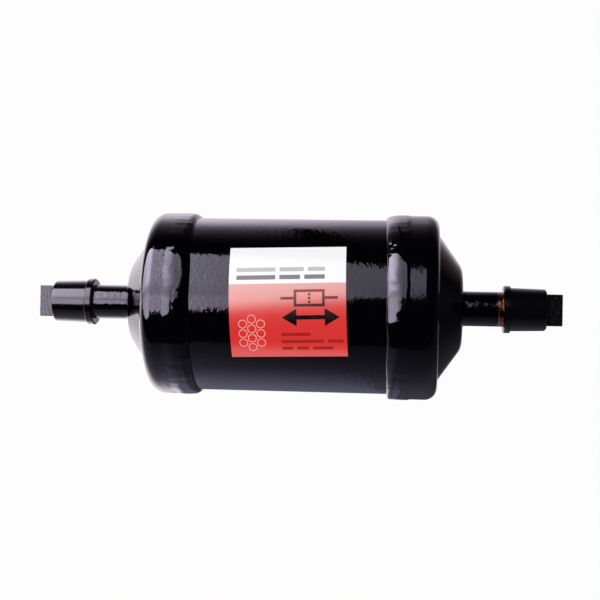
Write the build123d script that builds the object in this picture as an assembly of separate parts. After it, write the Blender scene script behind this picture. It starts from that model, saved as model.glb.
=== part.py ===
from build123d import *
import math
import os

# Hermetic two-way filter drier for a 3/8 in liquid line, modelled as it is put together.
# The part lies along X, with the middle of its barrel at the origin, its label facing -Y and +Z up.
# Millimetres and degrees. Each piece of an end is drawn at the +X end, and the -X end is its mirror image.

# Shell: a steel tube with a deep-drawn end pushed over each end of it and welded round the skirt
barrel_radius = 36.5
barrel_wall = 2.0
barrel_length = 109.7
end_wall = 1.9
skirt_gap = 0.1  # radial, between the barrel and the skirt of an end
skirt_lap = 10.15  # how far the skirt reaches back over the barrel
shoulder_bend = 5.2  # outer radius of the bend from skirt to shoulder
shoulder_width = 8.1  # flat-on, from the skirt's outside to the dome's foot
groove_bend = 1.3  # outer radius of the groove between shoulder and dome
dome_nose_radius = 16.4
dome_height = 9.9
nose_bend = 8.0
weld_leg = 5.4  # along the barrel, from the skirt's edge
weld_lap = 2.9  # along the skirt, from its edge
weld_crown = 0.35  # over the skirt's edge

# Connectors: thick steel stubs that take a copper tube, put in from inside and brazed outside
stub_radius = 7.25
stub_length = 28.55  # beyond the dome's nose
stub_bore_radius = 4.0
stub_hole_gap = 0.05
stub_mouth_chamfer = 0.5
socket_radius = 4.82
socket_depth = 9.5
flange_radius = 9.5
flange_thickness = 1.5
braze_leg = 1.1

# Shipping caps: moulded plugs that pull off the stubs by a flat tab
cap_fit = 0.1  # radial, on the stub
cap_grip = 11.8  # length of stub inside the cap
cap_headroom = 4.6  # free space past the stub's end
cap_wall = 1.7
cap_draft = 0.4  # how much the cap's radius shrinks to its closed end
cap_end_wall = 1.5
cap_end_round = 1.2
collar_height = 0.8
collar_length = 3.3
collar_bevel = 0.5
tab_length = 6.7
tab_height = 13.2
tab_thickness = 3.0
tab_round = 0.4
tab_root = 0.5  # how deep the tab runs into the cap's end wall

# Label: a square of film on the front of the barrel
label_width = 46.6
label_height = 46.8  # round the barrel
label_thickness = 0.15
label_middle_x = 0.2
label_middle_angle = 2.65  # up from the front
label_tilt = 2.0

# Check valves, one set at each end
plate_thickness = 1.2
plate_dish = 2.0
plate_edge_gap = 0.4
plate_corner_gap = 0.7
plate_step = 1.6
plate_bend = 0.6
port_count = 8
port_radius = 3.2
port_circle_radius = 20.0
hub_bore_radius = 4.6
hub_tail_radius = 6.0
hub_spigot_radius = 6.4
hub_guide_radius = 7.4
hub_flange_radius = 11.0
hub_flange_thickness = 0.8
hub_tail_reach = 6.0  # how far the tail goes into the core plate's neck
hub_lip_thickness = 0.6
press_gap = 0.05
flapper_thickness = 0.6
flapper_lift = 2.0
flapper_guide_gap = 0.3
flapper_seal = 2.8  # how far the flapper covers the plate past its ports
stop_thickness = 0.8
stop_radius = 22.0
stop_hole_count = 6
stop_hole_radius = 2.6
stop_hole_circle_radius = 16.0
outlet_disc_thickness = 1.0
outlet_disc_lift = 2.1
outlet_disc_guide_gap = 0.5
cage_sheet = 0.8
cage_flange_width = 2.8
cage_window_count = 3
cage_window_width = 9.0
cage_top_hole_radius = 2.4

# Core stack: desiccant core in its felt, a gasket and a pressed plate at each end, a spring at one end
flow_gap = 1.75  # round the core stack, between its plates' rims and the barrel
core_bore_radius = 7.8
core_edge = 0.8
core_sheet = 0.8
core_spacer = 1.6  # thickness of the hub flange that the core stack bears on
neck_gap = 0.1
neck_length = 9.0
rim_length = 6.0
rim_bend = 1.2
wrap_thickness = 0.6
wrap_gap = 0.05
rim_gap = 0.2
gasket_thickness = 1.2
screen_wall = 0.6
screen_end_gap = 0.2
screen_hole_radius = 1.5
screen_holes_round = 6
screen_rows = 4
screen_row_pitch = 16.0
spring_height = 11.4
spring_wire_radius = 0.9
spring_turns = 3.0
spring_bore_gap = 2.3  # from the hub's tail to the inside of the first coil
spring_base_radius = 18.0

# Places worked out from the sizes above, as distances from the middle of the barrel
barrel_end = barrel_length / 2
skirt_edge = barrel_end - skirt_lap
skirt_inner_radius = barrel_radius + skirt_gap
skirt_radius = skirt_inner_radius + end_wall
dome_base_radius = skirt_radius - shoulder_width
plate_inner_face = barrel_end + plate_dish
plate_outer_face = plate_inner_face + plate_thickness
shoulder_face = plate_outer_face + end_wall
nose_face = shoulder_face + dome_height
stub_end = nose_face + stub_length
flapper_face = plate_inner_face - flapper_thickness
stop_face = flapper_face - flapper_lift
stop_back = stop_face - stop_thickness
lip_foot = plate_outer_face + cage_sheet
lip_face = lip_foot + hub_lip_thickness
cage_top = lip_face + outlet_disc_thickness + outlet_disc_lift
cage_radius = hub_guide_radius + outlet_disc_guide_gap + cage_sheet
right_stack_face = stop_back - core_spacer
left_stack_face = stop_back - hub_flange_thickness - spring_height
core_right_end = right_stack_face - core_sheet - gasket_thickness
core_left_end = left_stack_face - core_sheet - gasket_thickness
core_length = core_right_end + core_left_end
neck_radius = hub_tail_radius + neck_gap + core_sheet
screen_inner_radius = neck_radius + neck_gap
rim_radius = barrel_radius - barrel_wall - flow_gap
wrap_radius = rim_radius - core_sheet - rim_gap
core_radius = wrap_radius - wrap_thickness - wrap_gap


def turned(*points):
    """A piece turned about X, from the corners of its section as (distance along X, radius)."""
    return revolve(make_face(Polyline(*points, close=True)), Axis.X)


def turned_sheet(sheet, bends, *points):
    """A piece pressed from sheet and round about X. The points run along one face, with the metal on
    the right of that line, and bends are the radii of its corners."""
    face_line = FilletPolyline(*points, radius=bends)
    return revolve(make_face(offset(face_line, amount=sheet, side=Side.RIGHT)), Axis.X)


def tube(radius, bore_radius, start, end):
    """A plain tube about X."""
    return turned((start, bore_radius), (start, radius), (end, radius), (end, bore_radius))


def holes_along_x(radius, count, circle_radius, start, end):
    """A ring of round cutters along X."""
    bar = Pos((start + end) / 2, 0, circle_radius) * Rot(Y=90) * Cylinder(radius, end - start)
    return [Rot(X=360 * i / count) * bar for i in range(count)]


def make_barrel():
    return tube(barrel_radius, barrel_radius - barrel_wall, -barrel_end, barrel_end)


def make_end_cap():
    """Deep-drawn end: skirt, shoulder, groove, conical dome and a flat nose with the stub's hole."""
    return turned_sheet(
        end_wall,
        [shoulder_bend, groove_bend, nose_bend],
        (skirt_edge, skirt_radius),
        (shoulder_face, skirt_radius),
        (shoulder_face, dome_base_radius),
        (nose_face, dome_nose_radius),
        (nose_face, stub_radius + stub_hole_gap),
    )


def make_weld_bead():
    """Fillet weld in the corner between barrel and skirt, crowned over the skirt's edge."""
    toe = (skirt_edge - weld_leg, barrel_radius)
    crown = (skirt_edge, skirt_radius + weld_crown)
    top = (skirt_edge + weld_lap, skirt_radius)
    section = [
        ThreePointArc(toe, crown, top),
        Polyline(top, (skirt_edge, skirt_radius), (skirt_edge, barrel_radius), toe),
    ]
    return revolve(make_face(section), Axis.X)


def make_connector():
    """Turned stub with a flange inside the dome and a stepped socket for the tube."""
    flange_foot = nose_face - end_wall - flange_thickness
    flange_face = nose_face - end_wall
    socket_foot = stub_end - socket_depth
    chamfer_foot = stub_end - stub_mouth_chamfer
    return turned(
        (flange_foot, stub_bore_radius),
        (flange_foot, flange_radius),
        (flange_face, flange_radius),
        (flange_face, stub_radius),
        (chamfer_foot, stub_radius),
        (stub_end, stub_radius - stub_mouth_chamfer),
        (stub_end, socket_radius),
        (socket_foot, socket_radius),
        (socket_foot, stub_bore_radius),
    )


def make_braze_ring():
    """Ring of braze in the corner between stub and nose, hollow as solder draws in."""
    on_stub = Vector(nose_face + braze_leg, stub_radius)
    on_nose = Vector(nose_face, stub_radius + braze_leg)
    corner = Vector(nose_face, stub_radius)
    centre = Vector(nose_face + braze_leg, stub_radius + braze_leg)
    hollow = centre + (corner - centre).normalized() * braze_leg
    section = [ThreePointArc(on_stub, hollow, on_nose), Polyline(on_nose, corner, on_stub)]
    return revolve(make_face(section), Axis.X)


def make_shipping_cap():
    """Moulded cup with a collar at its mouth and a flat pull tab on its closed end."""
    mouth = stub_end - cap_grip
    floor = stub_end + cap_headroom
    closed_end = floor + cap_end_wall
    bore = stub_radius + cap_fit
    root = bore + cap_wall
    tip = root - cap_draft
    collar = root + collar_height
    cup = turned(
        (mouth, bore),
        (mouth, collar - collar_bevel),
        (mouth + collar_bevel, collar),
        (mouth + collar_length - collar_bevel, collar),
        (mouth + collar_length, root),
        (closed_end, tip),
        (closed_end, 0),
        (floor, 0),
        (floor, bore),
    )
    rim = cup.edges().group_by(Axis.X)[-1]
    cup = fillet(rim, cap_end_round)
    tab_start = closed_end - tab_root
    tab_middle = (tab_start + closed_end + tab_length) / 2
    tab = Pos(tab_middle, 0, 0) * Box(tab_root + tab_length, tab_thickness, tab_height)
    return cup + fillet(tab.edges(), tab_round)


def make_label():
    """Square of film wrapped on the barrel, a little askew."""
    half_angle = math.degrees(label_height / 2 / barrel_radius)
    reach = 2 * barrel_radius
    film = tube(barrel_radius + label_thickness, barrel_radius, -barrel_end, barrel_end)
    askew = Rot(Y=-label_tilt)
    place = Pos(label_middle_x, 0, 0)
    strip = Box(label_width, reach, 2 * reach, align=(Align.CENTER, Align.MAX, Align.CENTER))
    film = film & place * Rot(X=-label_middle_angle) * askew * strip
    for side in (1, -1):
        edge_align = Align.MIN if side > 0 else Align.MAX
        beyond = Box(2 * reach, reach, reach, align=(Align.CENTER, Align.MAX, edge_align))
        film = film - place * Rot(X=-label_middle_angle - side * half_angle) * askew * beyond
    return film


def make_valve_plate():
    """Pressed plate, held between the barrel's end and the shoulder, with a ring of inlet ports."""
    flange_edge = skirt_inner_radius - plate_edge_gap
    disc_edge = skirt_inner_radius - (shoulder_bend - end_wall) - plate_corner_gap
    flange_face = barrel_end + plate_thickness
    plate = turned_sheet(
        plate_thickness,
        [plate_bend, plate_bend + plate_thickness],
        (flange_face, flange_edge),
        (flange_face, disc_edge + plate_step),
        (plate_outer_face, disc_edge),
        (plate_outer_face, hub_spigot_radius + press_gap),
    )
    ports = holes_along_x(
        port_radius, port_count, port_circle_radius, barrel_end, plate_outer_face + plate_thickness
    )
    return plate - ports


def make_valve_hub(stack_face, flange_foot):
    """Turned hub: tail into the core plate, flange, guide for the flapper, and a lip swaged over the
    outlet cage, which is the outlet disc's seat."""
    tail_end = stack_face - hub_tail_reach
    return turned(
        (tail_end, hub_bore_radius),
        (tail_end, hub_tail_radius),
        (flange_foot, hub_tail_radius),
        (flange_foot, hub_flange_radius),
        (stop_back, hub_flange_radius),
        (stop_back, hub_guide_radius),
        (plate_inner_face, hub_guide_radius),
        (plate_inner_face, hub_spigot_radius),
        (lip_foot, hub_spigot_radius),
        (lip_foot, hub_guide_radius),
        (lip_face, hub_guide_radius),
        (lip_face, hub_bore_radius),
    )


def make_inlet_flapper():
    """Ring that covers the inlet ports from inside and lifts towards the core."""
    edge = port_circle_radius + port_radius + flapper_seal
    return tube(edge, hub_guide_radius + flapper_guide_gap, flapper_face, plate_inner_face)


def make_flapper_stop():
    """Washer on the hub's flange that ends the flapper's lift."""
    washer = tube(stop_radius, hub_guide_radius + press_gap, stop_back, stop_face)
    cut_from = stop_back - stop_thickness
    cut_to = stop_face + stop_thickness
    return washer - holes_along_x(
        stop_hole_radius, stop_hole_count, stop_hole_circle_radius, cut_from, cut_to
    )


def make_outlet_disc():
    """Disc that covers the hub's bore from the dome side and lifts away from the core."""
    rim = lip_face + outlet_disc_thickness
    return turned((lip_face, 0), (lip_face, hub_guide_radius), (rim, hub_guide_radius), (rim, 0))


def make_outlet_cage():
    """Pressed cup with windows that holds the outlet disc over its seat."""
    cage_end = cage_top + cage_sheet
    flange_edge = cage_radius + cage_flange_width
    cup = turned(
        (plate_outer_face, hub_spigot_radius + press_gap),
        (plate_outer_face, flange_edge),
        (lip_foot, flange_edge),
        (lip_foot, cage_radius),
        (cage_end, cage_radius),
        (cage_end, cage_top_hole_radius),
        (cage_top, cage_top_hole_radius),
        (cage_top, cage_radius - cage_sheet),
        (lip_foot, cage_radius - cage_sheet),
        (lip_foot, hub_spigot_radius + press_gap),
    )
    window_span = cage_top - lip_face
    window = Box(
        window_span, cage_window_width, 2 * cage_radius, align=(Align.MIN, Align.CENTER, Align.MIN)
    )
    step = 360 / cage_window_count
    windows = [Rot(X=step * i) * Pos(lip_face, 0, 0) * window for i in range(cage_window_count)]
    return cup - windows


def make_core_plate(stack_face):
    """Pressed plate on the core's end, with a rim over the felt and a neck down the bore."""
    return turned_sheet(
        core_sheet,
        [rim_bend, rim_bend],
        (stack_face - rim_length, rim_radius),
        (stack_face, rim_radius),
        (stack_face, hub_tail_radius + neck_gap),
        (stack_face - neck_length, hub_tail_radius + neck_gap),
    )


def make_core_gasket(core_end):
    return tube(core_radius, core_bore_radius, core_end, core_end + gasket_thickness)


def make_core():
    """Moulded block of desiccant with its edges broken."""
    return turned(
        (-core_left_end, core_bore_radius),
        (-core_left_end, core_radius - core_edge),
        (-core_left_end + core_edge, core_radius),
        (core_right_end - core_edge, core_radius),
        (core_right_end, core_radius - core_edge),
        (core_right_end, core_bore_radius),
    )


def make_core_wrap():
    return tube(wrap_radius, core_radius + wrap_gap, -core_left_end, core_right_end)


def make_center_screen():
    """Perforated tube that lines the core's bore."""
    left = -core_left_end - gasket_thickness + screen_end_gap
    right = core_right_end + gasket_thickness - screen_end_gap
    screen = tube(screen_inner_radius + screen_wall, screen_inner_radius, left, right)
    middle = (left + right) / 2
    reach = 2 * screen_inner_radius
    drill = Cylinder(screen_hole_radius, reach, align=(Align.CENTER, Align.CENTER, Align.MIN))
    for row in range(screen_rows):
        place = Pos(middle + (row - (screen_rows - 1) / 2) * screen_row_pitch, 0, 0)
        turn = 180 / screen_holes_round * (row % 2)
        screen = screen - [
            place * Rot(X=turn + 360 * i / screen_holes_round) * drill
            for i in range(screen_holes_round)
        ]
    return screen


def make_core_spring():
    """Conical spring between the left hub's flange and the left core plate."""
    foot = stop_back - hub_flange_thickness - spring_wire_radius
    run = spring_height - 2 * spring_wire_radius
    top_radius = hub_tail_radius + spring_bore_gap + spring_wire_radius
    flare = math.degrees(math.atan((spring_base_radius - top_radius) / run))
    line = Helix(run / spring_turns, run, top_radius, (-foot, 0, 0), (1, 0, 0), flare)
    start = Plane(origin=line @ 0, z_dir=line % 0)
    return sweep(start * Circle(spring_wire_radius), path=line)


def save(node, shape):
    export_step(shape, f"parts/{node}.step")


os.makedirs("parts", exist_ok=True)

save("shell_barrel", make_barrel())
save("label", make_label())
save("desiccant_core", make_core())
save("core_wrap", make_core_wrap())
save("center_screen", make_center_screen())
save("core_spring", make_core_spring())

both_ends = {
    "end_cap": make_end_cap(),
    "weld_bead": make_weld_bead(),
    "connector": make_connector(),
    "braze_ring": make_braze_ring(),
    "shipping_cap": make_shipping_cap(),
    "valve_plate": make_valve_plate(),
    "inlet_flapper": make_inlet_flapper(),
    "flapper_stop": make_flapper_stop(),
    "outlet_disc": make_outlet_disc(),
    "outlet_cage": make_outlet_cage(),
}
right_only = {
    "valve_hub": make_valve_hub(right_stack_face, right_stack_face),
    "core_plate": make_core_plate(right_stack_face),
    "core_gasket": make_core_gasket(core_right_end),
}
left_only = {
    "valve_hub": make_valve_hub(left_stack_face, stop_back - hub_flange_thickness),
    "core_plate": make_core_plate(left_stack_face),
    "core_gasket": make_core_gasket(core_left_end),
}
for name, piece in {**both_ends, **right_only}.items():
    save(f"right_{name}", piece)
for name, piece in {**both_ends, **left_only}.items():
    save(f"left_{name}", mirror(piece, about=Plane.YZ))

print("shell", 2 * nose_face, "long,", 2 * skirt_radius, "across; stub to stub", 2 * stub_end)
print("core", round(core_length, 2), "long, right end at", core_right_end)
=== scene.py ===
# %% [markdown]
# # A filter drier for a refrigeration line
# A filter drier is a sealed steel can in the liquid line of a cooling plant. Its core of desiccant
# takes water and acid out of the refrigerant. The can is a piece of tube with a pressed end welded on
# at each side, and a stub for the copper pipe brazed into each end. It is dipped in gloss black
# enamel, and travels with a soft black cap on each stub.
#
# The drier was drawn in CAD and packed as a frame of named pieces. This lesson dresses those pieces.
# Each one gets its finish. The few that plain solids can't show well are built again: the two weld
# beads, and the label with its print. The collars of the two caps get a soft round.

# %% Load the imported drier
import math

import bmesh
import bpy
import numpy as np
from mathutils import Matrix, Vector, noise


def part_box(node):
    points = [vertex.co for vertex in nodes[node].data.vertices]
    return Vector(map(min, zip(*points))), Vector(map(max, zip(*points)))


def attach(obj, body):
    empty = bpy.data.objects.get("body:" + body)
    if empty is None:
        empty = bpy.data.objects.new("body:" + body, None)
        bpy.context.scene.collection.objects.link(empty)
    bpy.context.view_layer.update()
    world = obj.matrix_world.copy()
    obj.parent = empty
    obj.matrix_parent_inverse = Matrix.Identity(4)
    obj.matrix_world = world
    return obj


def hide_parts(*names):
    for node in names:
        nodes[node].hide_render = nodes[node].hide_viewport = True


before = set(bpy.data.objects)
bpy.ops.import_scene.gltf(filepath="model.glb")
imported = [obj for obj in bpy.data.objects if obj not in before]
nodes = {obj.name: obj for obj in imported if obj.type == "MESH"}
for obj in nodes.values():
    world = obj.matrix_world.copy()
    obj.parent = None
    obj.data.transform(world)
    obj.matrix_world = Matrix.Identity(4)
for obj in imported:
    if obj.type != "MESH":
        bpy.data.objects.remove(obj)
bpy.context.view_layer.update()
scene = bpy.context.scene

# %% [markdown]
# Everything in Blender is in metres, so a millimetre gets a name. The sizes that the new pieces need
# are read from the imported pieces, so that each one is built where its neighbour really is. A turned
# piece has one radius for each place along X: the farthest vertex from the axis there.

# %% Measure the shell, stubs and caps
MM = 0.001


def radius_near(node, x, reach=0.4 * MM):
    """The largest radius of a turned piece within reach of the place x."""
    points = np.array([v.co for v in nodes[node].data.vertices])
    near = points[np.abs(points[:, 0] - x) < reach]
    return float(np.hypot(near[:, 1], near[:, 2]).max())


barrel_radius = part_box("shell_barrel")[1].z
skirt_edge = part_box("right_end_cap")[0].x
skirt_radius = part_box("right_end_cap")[1].z
nose_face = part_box("right_end_cap")[1].x
stub_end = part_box("right_connector")[1].x
stub_radius = radius_near("right_connector", stub_end - 2 * MM, 2 * MM)
cap_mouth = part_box("right_shipping_cap")[0].x
tab_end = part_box("right_shipping_cap")[1].x
bead_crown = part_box("right_weld_bead")[1].z
print(f"barrel {2e3 * barrel_radius:.1f} mm across, shell {2e3 * nose_face:.1f} mm long")
print(f"stubs {2e3 * stub_radius:.1f} mm across, {1e3 * (stub_end - nose_face):.1f} mm long")

# %% [markdown]
# The camera comes first, because everything is judged through it. It stands a little to the right of
# the drier's middle, level with its axis, and looks back to the left, so that both ends show: the
# left dome nearly edge-on and the right one more from the side. It has a longish lens for its frame.
# A Track To constraint could aim it, but then it couldn't lean. So the turn about Z, the tilt and the
# roll are applied one after another, each about its own axis.

# %% Set up the camera
camera_place = Vector((53.64, -513.11, 0.0)) * MM
camera_turn = 5.79  # degrees, to the left of straight across the drier
camera_tilt = 0.26  # degrees up
camera_roll = 1.107  # degrees, right side up
camera_lens = 72.93  # mm, for a film 36 mm wide

camera = bpy.data.objects.new("camera", bpy.data.cameras.new("camera"))
scene.collection.objects.link(camera)
turn = Matrix.Rotation(math.radians(camera_turn), 4, "Z")
tilt = Matrix.Rotation(math.radians(90 + camera_tilt), 4, "X")
roll = Matrix.Rotation(math.radians(camera_roll), 4, "Z")
camera.matrix_world = Matrix.Translation(camera_place) @ turn @ tilt @ roll
camera.data.lens = camera_lens
camera.data.sensor_width = 36.0
camera.data.clip_start = 10 * MM
scene.camera = camera
scene.view_settings.view_transform = "Standard"
looking = camera.matrix_world.to_3x3() @ Vector((0, 0, -1))
print("camera looks along", tuple(round(part, 3) for part in looking))

# %% [markdown]
# Finishes and light are both node trees, and a few helpers keep them readable. `feed` sets a socket
# to a number or links it to another node. `calc` is a Math node, and `times`, `plus` and `minus` are
# the three kinds of it that are used most. `ease` is a Map Range node that turns smoothly from one
# number to another as its value passes between two marks. `curve` is a line drawn through points.

# %% Make helpers for node trees


def feed(tree, socket, value):
    """Links value into a socket if it comes out of a node, and sets it if it is a plain value."""
    if isinstance(value, bpy.types.NodeSocket):
        tree.links.new(value, socket)
    else:
        socket.default_value = value


def calc(tree, operation, *values):
    node = tree.nodes.new("ShaderNodeMath")
    node.operation = operation
    for socket, value in zip(node.inputs, values):
        feed(tree, socket, value)
    return node.outputs[0]


def times(tree, first, second):
    return calc(tree, "MULTIPLY", first, second)


def plus(tree, first, second):
    return calc(tree, "ADD", first, second)


def minus(tree, first, second):
    return calc(tree, "SUBTRACT", first, second)


def ease(tree, value, start, end, low=0.0, high=1.0, form="SMOOTHSTEP"):
    """From low to high as value goes from start to end, and level outside them."""
    node = tree.nodes.new("ShaderNodeMapRange")
    node.interpolation_type = form
    for name, given in (("Value", value), ("From Min", start), ("From Max", end)):
        feed(tree, node.inputs[name], given)
    feed(tree, node.inputs["To Min"], low)
    feed(tree, node.inputs["To Max"], high)
    return node.outputs[0]


def curve(tree, value, points, start, end, top):
    """A line through points of (value, result), drawn over start to end and 0 to top."""
    node = tree.nodes.new("ShaderNodeFloatCurve")
    line = node.mapping.curves[0]
    while len(line.points) > 2:
        line.points.remove(line.points[1])
    places = [((x - start) / (end - start), y / top) for x, y in points]
    line.points[0].location = places[0]
    line.points[1].location = places[-1]
    for place in places[1:-1]:
        line.points.new(*place)
    for point in line.points:
        point.handle_type = "VECTOR"
    node.mapping.update()
    feed(tree, node.inputs["Value"], ease(tree, value, start, end, form="LINEAR"))
    return times(tree, node.outputs[0], top)


def mix_colours(tree, share, first, second):
    node = tree.nodes.new("ShaderNodeMix")
    node.data_type = "RGBA"
    feed(tree, node.inputs["Factor"], share)
    feed(tree, node.inputs["A"], first)
    feed(tree, node.inputs["B"], second)
    return node.outputs["Result"]


def rgb(red, green, blue):
    return (red, green, blue, 1.0)


def grey(value):
    return rgb(value, value, value)


print("helpers for node trees are ready")

# %% [markdown]
# Gloss black enamel has hardly any colour of its own: what one sees on it is the room. So the room is
# the real light here. Lamps could stand in it, but each reflection on the enamel has its own edge and
# brightness, and those are easier to give to soft patches that are painted on the world.
#
# Each direction in the room is told by two angles. `side` is how far it points to the left, and
# `ring` goes round the drier's axis: 0 in front, 90 overhead, 180 behind and -90 below.

# %% Find directions in the room
world = bpy.data.worlds.new("studio_room")
scene.world = world
world.use_nodes = True
room = world.node_tree
room.nodes.clear()
toward = room.nodes.new("ShaderNodeTexCoord").outputs["Generated"]
apart = room.nodes.new("ShaderNodeSeparateXYZ")
room.links.new(toward, apart.inputs[0])
to_right, to_back, to_top = apart.outputs
side = calc(room, "DEGREES", calc(room, "ARCSINE", times(room, to_right, -1.0)))
ring = calc(room, "DEGREES", calc(room, "ARCTAN2", to_top, times(room, to_back, -1.0)))
print("each direction in the room has a side and a ring angle")

# %% [markdown]
# The main light is one big umbrella at the front left. Its two rims draw together towards the right
# and close a little past straight in front, and it is far brighter out at the side. On the barrel it
# is the broad grey band, and on the left dome it is the pale glare. A curve gives each rim's ring
# angle for each side angle, and two more give the glow in its upper and its lower part. A strip
# along its lower half is a little brighter.

# %% Open the umbrella
umbrella_blur = 1.2  # degrees over which its rim fades
lower_rim = [
    (-10, 36), (-2.4, 36), (-1.6, 26), (-1, 17), (0, 12), (1, 10), (3, 12), (6.5, 2), (10, -8),
    (13, -11), (20, -17), (30, -20), (40, -23), (60, -25), (75, -15), (85, 20), (90, 40),
]
upper_rim = [
    (-10, 30), (-2.4, 30), (-1.6, 40), (-1, 45), (0, 48), (1, 50), (3, 58), (6.5, 63), (10, 68),
    (13, 70.5), (20, 74), (30, 77), (40, 83), (55, 92), (68, 98), (80, 98), (85, 80), (90, 60),
]
upper_glow = [
    (-10, 0.5), (-5, 0.9), (-1, 1.6), (3, 1.6), (6, 2.1), (9, 2.8), (11, 3.4), (13, 5.2), (16, 7.0),
    (20, 9.0), (30, 12.3), (45, 11.0), (55, 8.5), (68, 7.0), (82, 3.0), (90, 2.0),
]
lower_glow = [
    (-10, 0.5), (-1, 1.2), (3, 1.5), (6, 2.1), (9, 2.8), (11, 3.0), (13, 3.8), (20, 5.0), (40, 5.9),
    (55, 4.2), (68, 3.5), (82, 0.8), (90, 0.5),
]
strip_glow = [(-10, 0), (4, 0.05), (9, 0.4), (11, 0.6), (12.5, 1.5), (90, 1.5)]


def by_side(points, top):
    """A curve over the side angles that the umbrella covers."""
    return curve(room, side, points, -10, 90, top)


def rim(points):
    """A rim's ring angle at each side angle; the curve is drawn 30 degrees up, clear of nought."""
    return minus(room, by_side([(at, angle + 30) for at, angle in points], 130), 30)


over_lower = ease(room, minus(room, ring, rim(lower_rim)), -umbrella_blur, umbrella_blur)
under_upper = ease(room, minus(room, rim(upper_rim), ring), -umbrella_blur, umbrella_blur)
inside_rims = times(room, over_lower, under_upper)
upper_part = times(room, ease(room, ring, 18, 32), by_side(upper_glow, 16))
lower_part = times(room, ease(room, ring, 32, 18), by_side(lower_glow, 16))
strip = times(room, times(room, inside_rims, ease(room, ring, 14, 7)), by_side(strip_glow, 4))
umbrella = times(room, inside_rims, plus(room, upper_part, lower_part))
print("the umbrella glows up to", max(glow for _, glow in upper_glow), "times a white wall")

# %% [markdown]
# The rest of the room is dim. White walls stand behind and to the left, and a strip of ceiling runs
# high up behind. A table lies below, with pale floor beyond its left edge, and the right dome sees a
# warm corner. Overhead and low down in front the room is dark, and those are the black bands on the
# barrel. Each patch is a glow round the ring times a share at each side angle.

# %% Paint the walls, the ceiling and the table
room_black = 0.004


def patch(ring_points, side_points):
    """A soft patch of light: its glow round the ring times its share at each side angle."""
    around_ring = curve(room, ring, ring_points, -180, 180, 2)
    return times(room, around_ring, curve(room, side, side_points, -90, 90, 6))


back_wall = patch(
    [(-180, 0.9), (-174, 0.5), (-168, 0.0), (148, 0.0), (158, 0.7), (166, 1.0), (180, 0.9)],
    [(-90, 0), (-50, 0.05), (-35, 0.2), (-25, 0.5), (-16, 0.85), (10, 1.0), (25, 1.4), (45, 2.45),
     (62, 2.6), (73, 4.0), (90, 5.0)],
)
floor_left = patch(
    [(-180, 0.2), (-172, 0.7), (-166, 0.95), (-158, 0.5), (-150, 0), (180, 0)],
    [(-90, 0), (24, 0), (32, 0.5), (42, 1.0), (60, 1.0), (90, 1.0)],
)
ceiling_strip = patch(
    [(-180, 0), (85, 0), (95, 0.03), (105, 0.16), (115, 0.4), (125, 0.95), (133, 1.75),
     (142, 1.95), (150, 1.6), (158, 0.6), (166, 0), (180, 0)],
    [(-90, 0), (-45, 0), (-25, 0.06), (-16, 0.14), (-8, 0.27), (0, 0.42), (3, 0.6), (10, 1.0),
     (20, 1.0), (38, 0.6), (50, 0.25), (70, 0), (90, 0)],
)
table = patch(
    [(-180, 0.12), (-160, 0.14), (-145, 0.25), (-135, 0.36), (-120, 0.47), (-105, 0.42),
     (-95, 0.34), (-75, 0.23), (-62, 0.16), (-53, 0.11), (-50.5, 0), (180, 0)],
    [(-90, 0), (-60, 0.15), (-38, 0.4), (-20, 0.55), (2, 0.6), (10, 1.0), (13, 1.35), (17, 1.6),
     (50, 1.6), (90, 2.0)],
)
pale_floor = patch(
    [(-180, 0.9), (-165, 1.15), (-150, 1.85), (-138, 1.95), (-125, 0.85), (-115, 0.1), (-108, 0),
     (180, 0)],
    [(-90, 0), (10.8, 0), (12.2, 1.0), (90, 1.0)],
)
warm_corner = patch(
    [(-180, 0), (140, 0), (149, 0.06), (156, 0.055), (163, 0), (180, 0)],
    [(-90, 0), (-54, 0), (-48, 1.0), (-38, 1.0), (-30, 0), (90, 0)],
)
print("six dim patches, over a black of", room_black)

# %% [markdown]
# Two outlines in the room cross the barrel's mirror image. Something dark with a curved edge stands
# before the ceiling strip: below its edge the strip is hidden. And the far half of the table is
# lighter, from an edge that runs slantwise.

# %% Draw the two outlines in the room
dark_outline = [
    (-90, 0), (3.3, 0), (3.5, 101), (3.8, 106), (4.5, 113), (5.1, 120), (5.6, 123.5), (6.2, 123),
    (6.7, 121.5), (6.75, 0), (90, 0),
]
dark_edge = curve(room, side, dark_outline, -90, 90, 180)
clear_of_dark = ease(room, minus(room, ring, dark_edge), -1.0, 1.0)
ceiling_strip = times(room, ceiling_strip, clear_of_dark)

table_edge = curve(room, ring, [(-180, 1.1), (-90, 3.2), (180, 3.2)], -180, 180, 10)
past_edge = ease(room, minus(room, side, table_edge), -0.08, 0.08)
far_table = patch(
    [(-180, 0.03), (-155, 0.13), (-140, 0.2), (-125, 0.2), (-110, 0.17), (-98, 0.08), (-90, 0),
     (180, 0)],
    [(-90, 0), (1, 0), (1.2, 1), (8, 1.0), (11.5, 0.6), (20, 0), (90, 0)],
)
far_table = times(room, far_table, past_edge)
print("the dark edge rises to", max(top for _, top in dark_outline), "degrees")

# %% [markdown]
# The patches are added up, each in a faint tint of its own. A matt colour should render about as it
# is written, so diffuse rays get one even light in place of the patches. Cycles would still pick
# some of its light directions by the patches, so its sampling of the world is off. The camera sees
# plain white, which is the background.

# %% Join the lights
paper_white = 0.982
tent_glow = 1.0  # the even light that matt colours get
glows = [  # tint and glow of each light
    (rgb(1.0, 0.98, 1.05), umbrella),
    (rgb(1.12, 0.9, 1.0), strip),
    (rgb(1.03, 0.96, 1.0), plus(room, room_black, back_wall)),
    (rgb(1.03, 0.96, 1.0), plus(room, floor_left, pale_floor)),
    (rgb(1.08, 0.94, 1.12), ceiling_strip),
    (rgb(0.97, 0.95, 1.14), table),
    (rgb(0.85, 0.85, 1.5), far_table),
    (rgb(1.3, 0.6, 0.5), warm_corner),
]


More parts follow.
